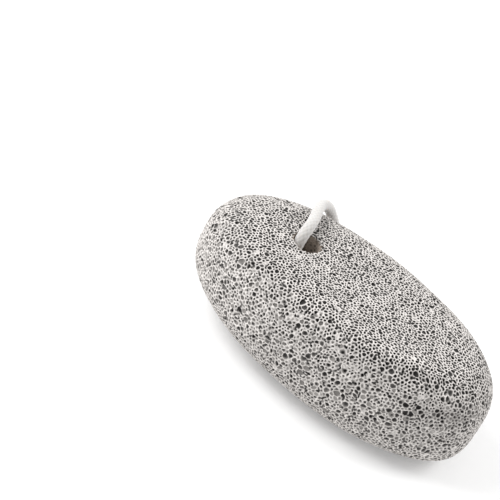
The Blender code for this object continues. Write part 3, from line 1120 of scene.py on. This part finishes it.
def make_knot(settings):
    """Make the knot's two cords, pulled tight in the knot and free in the tails."""
    tubes = []
    for side, tail_end in ((-1.0, LONG_TAIL_END), (1.0, SHORT_TAIL_END)):
        path = smooth_route(knot_path(side, tail_end), KNOT_STATIONS)
        run = run_along(path)
        from_knot = np.abs(path[:, 0] - KNOT_LINE[0])
        tight = np.clip((TIGHT_REACH - from_knot) / TIGHT_RUN, 0.0, 1.0)
        diameter = settings.diameter + (settings.squeezed - settings.diameter) * tight
        ending = np.clip((run[-1] - run) / ENDING_RUN, 0.0, 1.0)
        radii = diameter / 2.0 * np.sqrt(np.maximum(1.0 - (1.0 - ending) ** 2, ENDING_LEAST))
        tubes.append(braided_tube(path, radii, settings, KNOT_SIDES))
    return new_object("overhand_knot", joined_tubes("knot_braids", tubes))


# ---------------------------------------------------------------- the stage

# The camera in the stone's own frame, in millimetres, and its lens.
CAMERA_PLACE = Vector((80.04, -351.67, 271.22)) * MM
CAMERA_RIGHT = Vector((0.7474, 0.5419, 0.3845))
CAMERA_UP = Vector((-0.6154, 0.3465, 0.7080))
CAMERA_BACK = Vector((0.2504, -0.7657, 0.5924))
CAMERA_LENS = 111.23
SENSOR_WIDTH = 36.0
NEAREST_SEEN = 0.01
FARTHEST_SEEN = 20.0

# The floor lies a hair under the stone, so that the two never share a plane.
FLOOR_SIZE = 6.0
FLOOR_HEIGHT = -0.02 * MM
FLOOR_ROUGHNESS = 0.8
WHITE = (1.0, 1.0, 1.0, 1.0)
KEY_PLACE = (-0.70, -0.22, 0.62)
KEY_SIZE = 0.6
RIM_PLACE = (0.45, 0.55, 0.55)
RIM_SIZE = 0.5
LAMPS_AIM = Vector((0.0, 0.0, 0.01))


def make_camera():
    """Place the camera in front of the stone and above it, leaning as the stone does."""
    data = bpy.data.cameras.new("camera")
    data.lens = CAMERA_LENS
    data.sensor_width = SENSOR_WIDTH
    data.clip_start = NEAREST_SEEN
    data.clip_end = FARTHEST_SEEN
    camera = bpy.data.objects.new("camera", data)
    axes = Matrix((CAMERA_RIGHT, CAMERA_UP, CAMERA_BACK)).transposed().to_4x4()
    camera.matrix_world = STONE_POSE @ Matrix.Translation(CAMERA_PLACE) @ axes
    bpy.context.scene.collection.objects.link(camera)
    bpy.context.scene.camera = camera


def make_lamp(name, place, size, power):
    """Add a square area lamp that shines at the stone."""
    data = bpy.data.lights.new(name, "AREA")
    data.size = size
    data.energy = power
    lamp = bpy.data.objects.new(name, data)
    lamp.location = place
    aim = LAMPS_AIM - Vector(place)
    lamp.rotation_mode = "QUATERNION"
    lamp.rotation_quaternion = aim.to_track_quat("-Z", "Y")
    bpy.context.scene.collection.objects.link(lamp)


def make_stage(settings):
    """Make the floor, the even surrounding light, the lamps and the camera."""
    half = FLOOR_SIZE / 2.0
    corners = half * np.array([(-1, -1, 0), (1, -1, 0), (1, 1, 0), (-1, 1, 0)])
    floor = new_object("floor", mesh_from_arrays("floor", corners, [np.array([[0, 1, 2, 3]])]))
    floor.location.z = FLOOR_HEIGHT
    finish = Finish("floor", settings.floor_colour, FLOOR_ROUGHNESS)
    finish.shader.inputs["Emission Color"].default_value = WHITE
    finish.shader.inputs["Emission Strength"].default_value = settings.floor_glow
    floor.data.materials.append(finish.material)
    world = bpy.data.worlds.new("studio")
    world.use_nodes = True
    background = world.node_tree.nodes["Background"]
    background.inputs["Color"].default_value = WHITE
    background.inputs["Strength"].default_value = settings.fill
    bpy.context.scene.world = world
    bpy.context.scene.view_settings.view_transform = "Standard"
    make_lamp("key", KEY_PLACE, KEY_SIZE, settings.key_power)
    make_lamp("rim", RIM_PLACE, RIM_SIZE, settings.rim_power)
    make_camera()


# ---------------------------------------------------------------- the add-on


class OBJECT_OT_pumice_stage(bpy.types.Operator):
    """Add the floor, the soft light and the camera"""

    bl_idname = "object.pumice_stage"
    bl_label = "Add Stage"

    def execute(self, context):
        make_stage(context.scene.pumice_stage)
        return {"FINISHED"}


class OBJECT_OT_pumice_cord(bpy.types.Operator):
    """Add the braided loop and its knot"""

    bl_idname = "object.pumice_cord"
    bl_label = "Add Cord and Knot"

    def execute(self, context):
        settings = context.scene.pumice_cord
        material = cord_finish(settings)
        loop, path = make_cord(settings)
        knot = make_knot(settings)
        for piece, node in ((loop, "cord"), (knot, "knot")):
            piece.data.materials.append(material)
            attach(piece, "root")
            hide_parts(node)
        return {"FINISHED"}


class OBJECT_OT_pumice_stone(bpy.types.Operator):
    """Add the porous, drilled stone"""

    bl_idname = "object.pumice_stone"
    bl_label = "Add Stone"

    def execute(self, context):
        settings = context.scene.pumice_stone
        stone = make_stone(settings)
        stone.data.materials.clear()
        stone.data.materials.append(pumice_finish(settings))
        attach(stone, "root")
        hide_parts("stone")
        return {"FINISHED"}


class VIEW3D_PT_pumice(bpy.types.Panel):
    """Sizes, colours and the steps that make the stone"""

    bl_label = "Pumice Foot Stone"
    bl_space_type = "VIEW_3D"
    bl_region_type = "UI"
    bl_category = "Pumice"

    def draw(self, context):
        groups = (
            (OBJECT_OT_pumice_stage, context.scene.pumice_stage),
            (OBJECT_OT_pumice_cord, context.scene.pumice_cord),
            (OBJECT_OT_pumice_stone, context.scene.pumice_stone),
        )
        for operator, settings in groups:
            box = self.layout.box()
            box.operator(operator.bl_idname)
            for name in settings.__annotations__:
                box.prop(settings, name)


CLASSES = (
    PumiceStoneSettings,
    PumiceCordSettings,
    PumiceStageSettings,
    OBJECT_OT_pumice_stage,
    OBJECT_OT_pumice_cord,
    OBJECT_OT_pumice_stone,
    VIEW3D_PT_pumice,
)


def register():
    for made_class in CLASSES:
        bpy.utils.register_class(made_class)
    bpy.types.Scene.pumice_stone = bpy.props.PointerProperty(type=PumiceStoneSettings)
    bpy.types.Scene.pumice_cord = bpy.props.PointerProperty(type=PumiceCordSettings)
    bpy.types.Scene.pumice_stage = bpy.props.PointerProperty(type=PumiceStageSettings)


def unregister():
    del bpy.types.Scene.pumice_stage
    del bpy.types.Scene.pumice_cord
    del bpy.types.Scene.pumice_stone
    for made_class in reversed(CLASSES):
        bpy.utils.unregister_class(made_class)


def main():
    """Register the add-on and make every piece."""
    register()
    bpy.ops.object.pumice_stage()
    bpy.ops.object.pumice_cord()
    bpy.ops.object.pumice_stone()


if __name__ == "__main__":
    main()
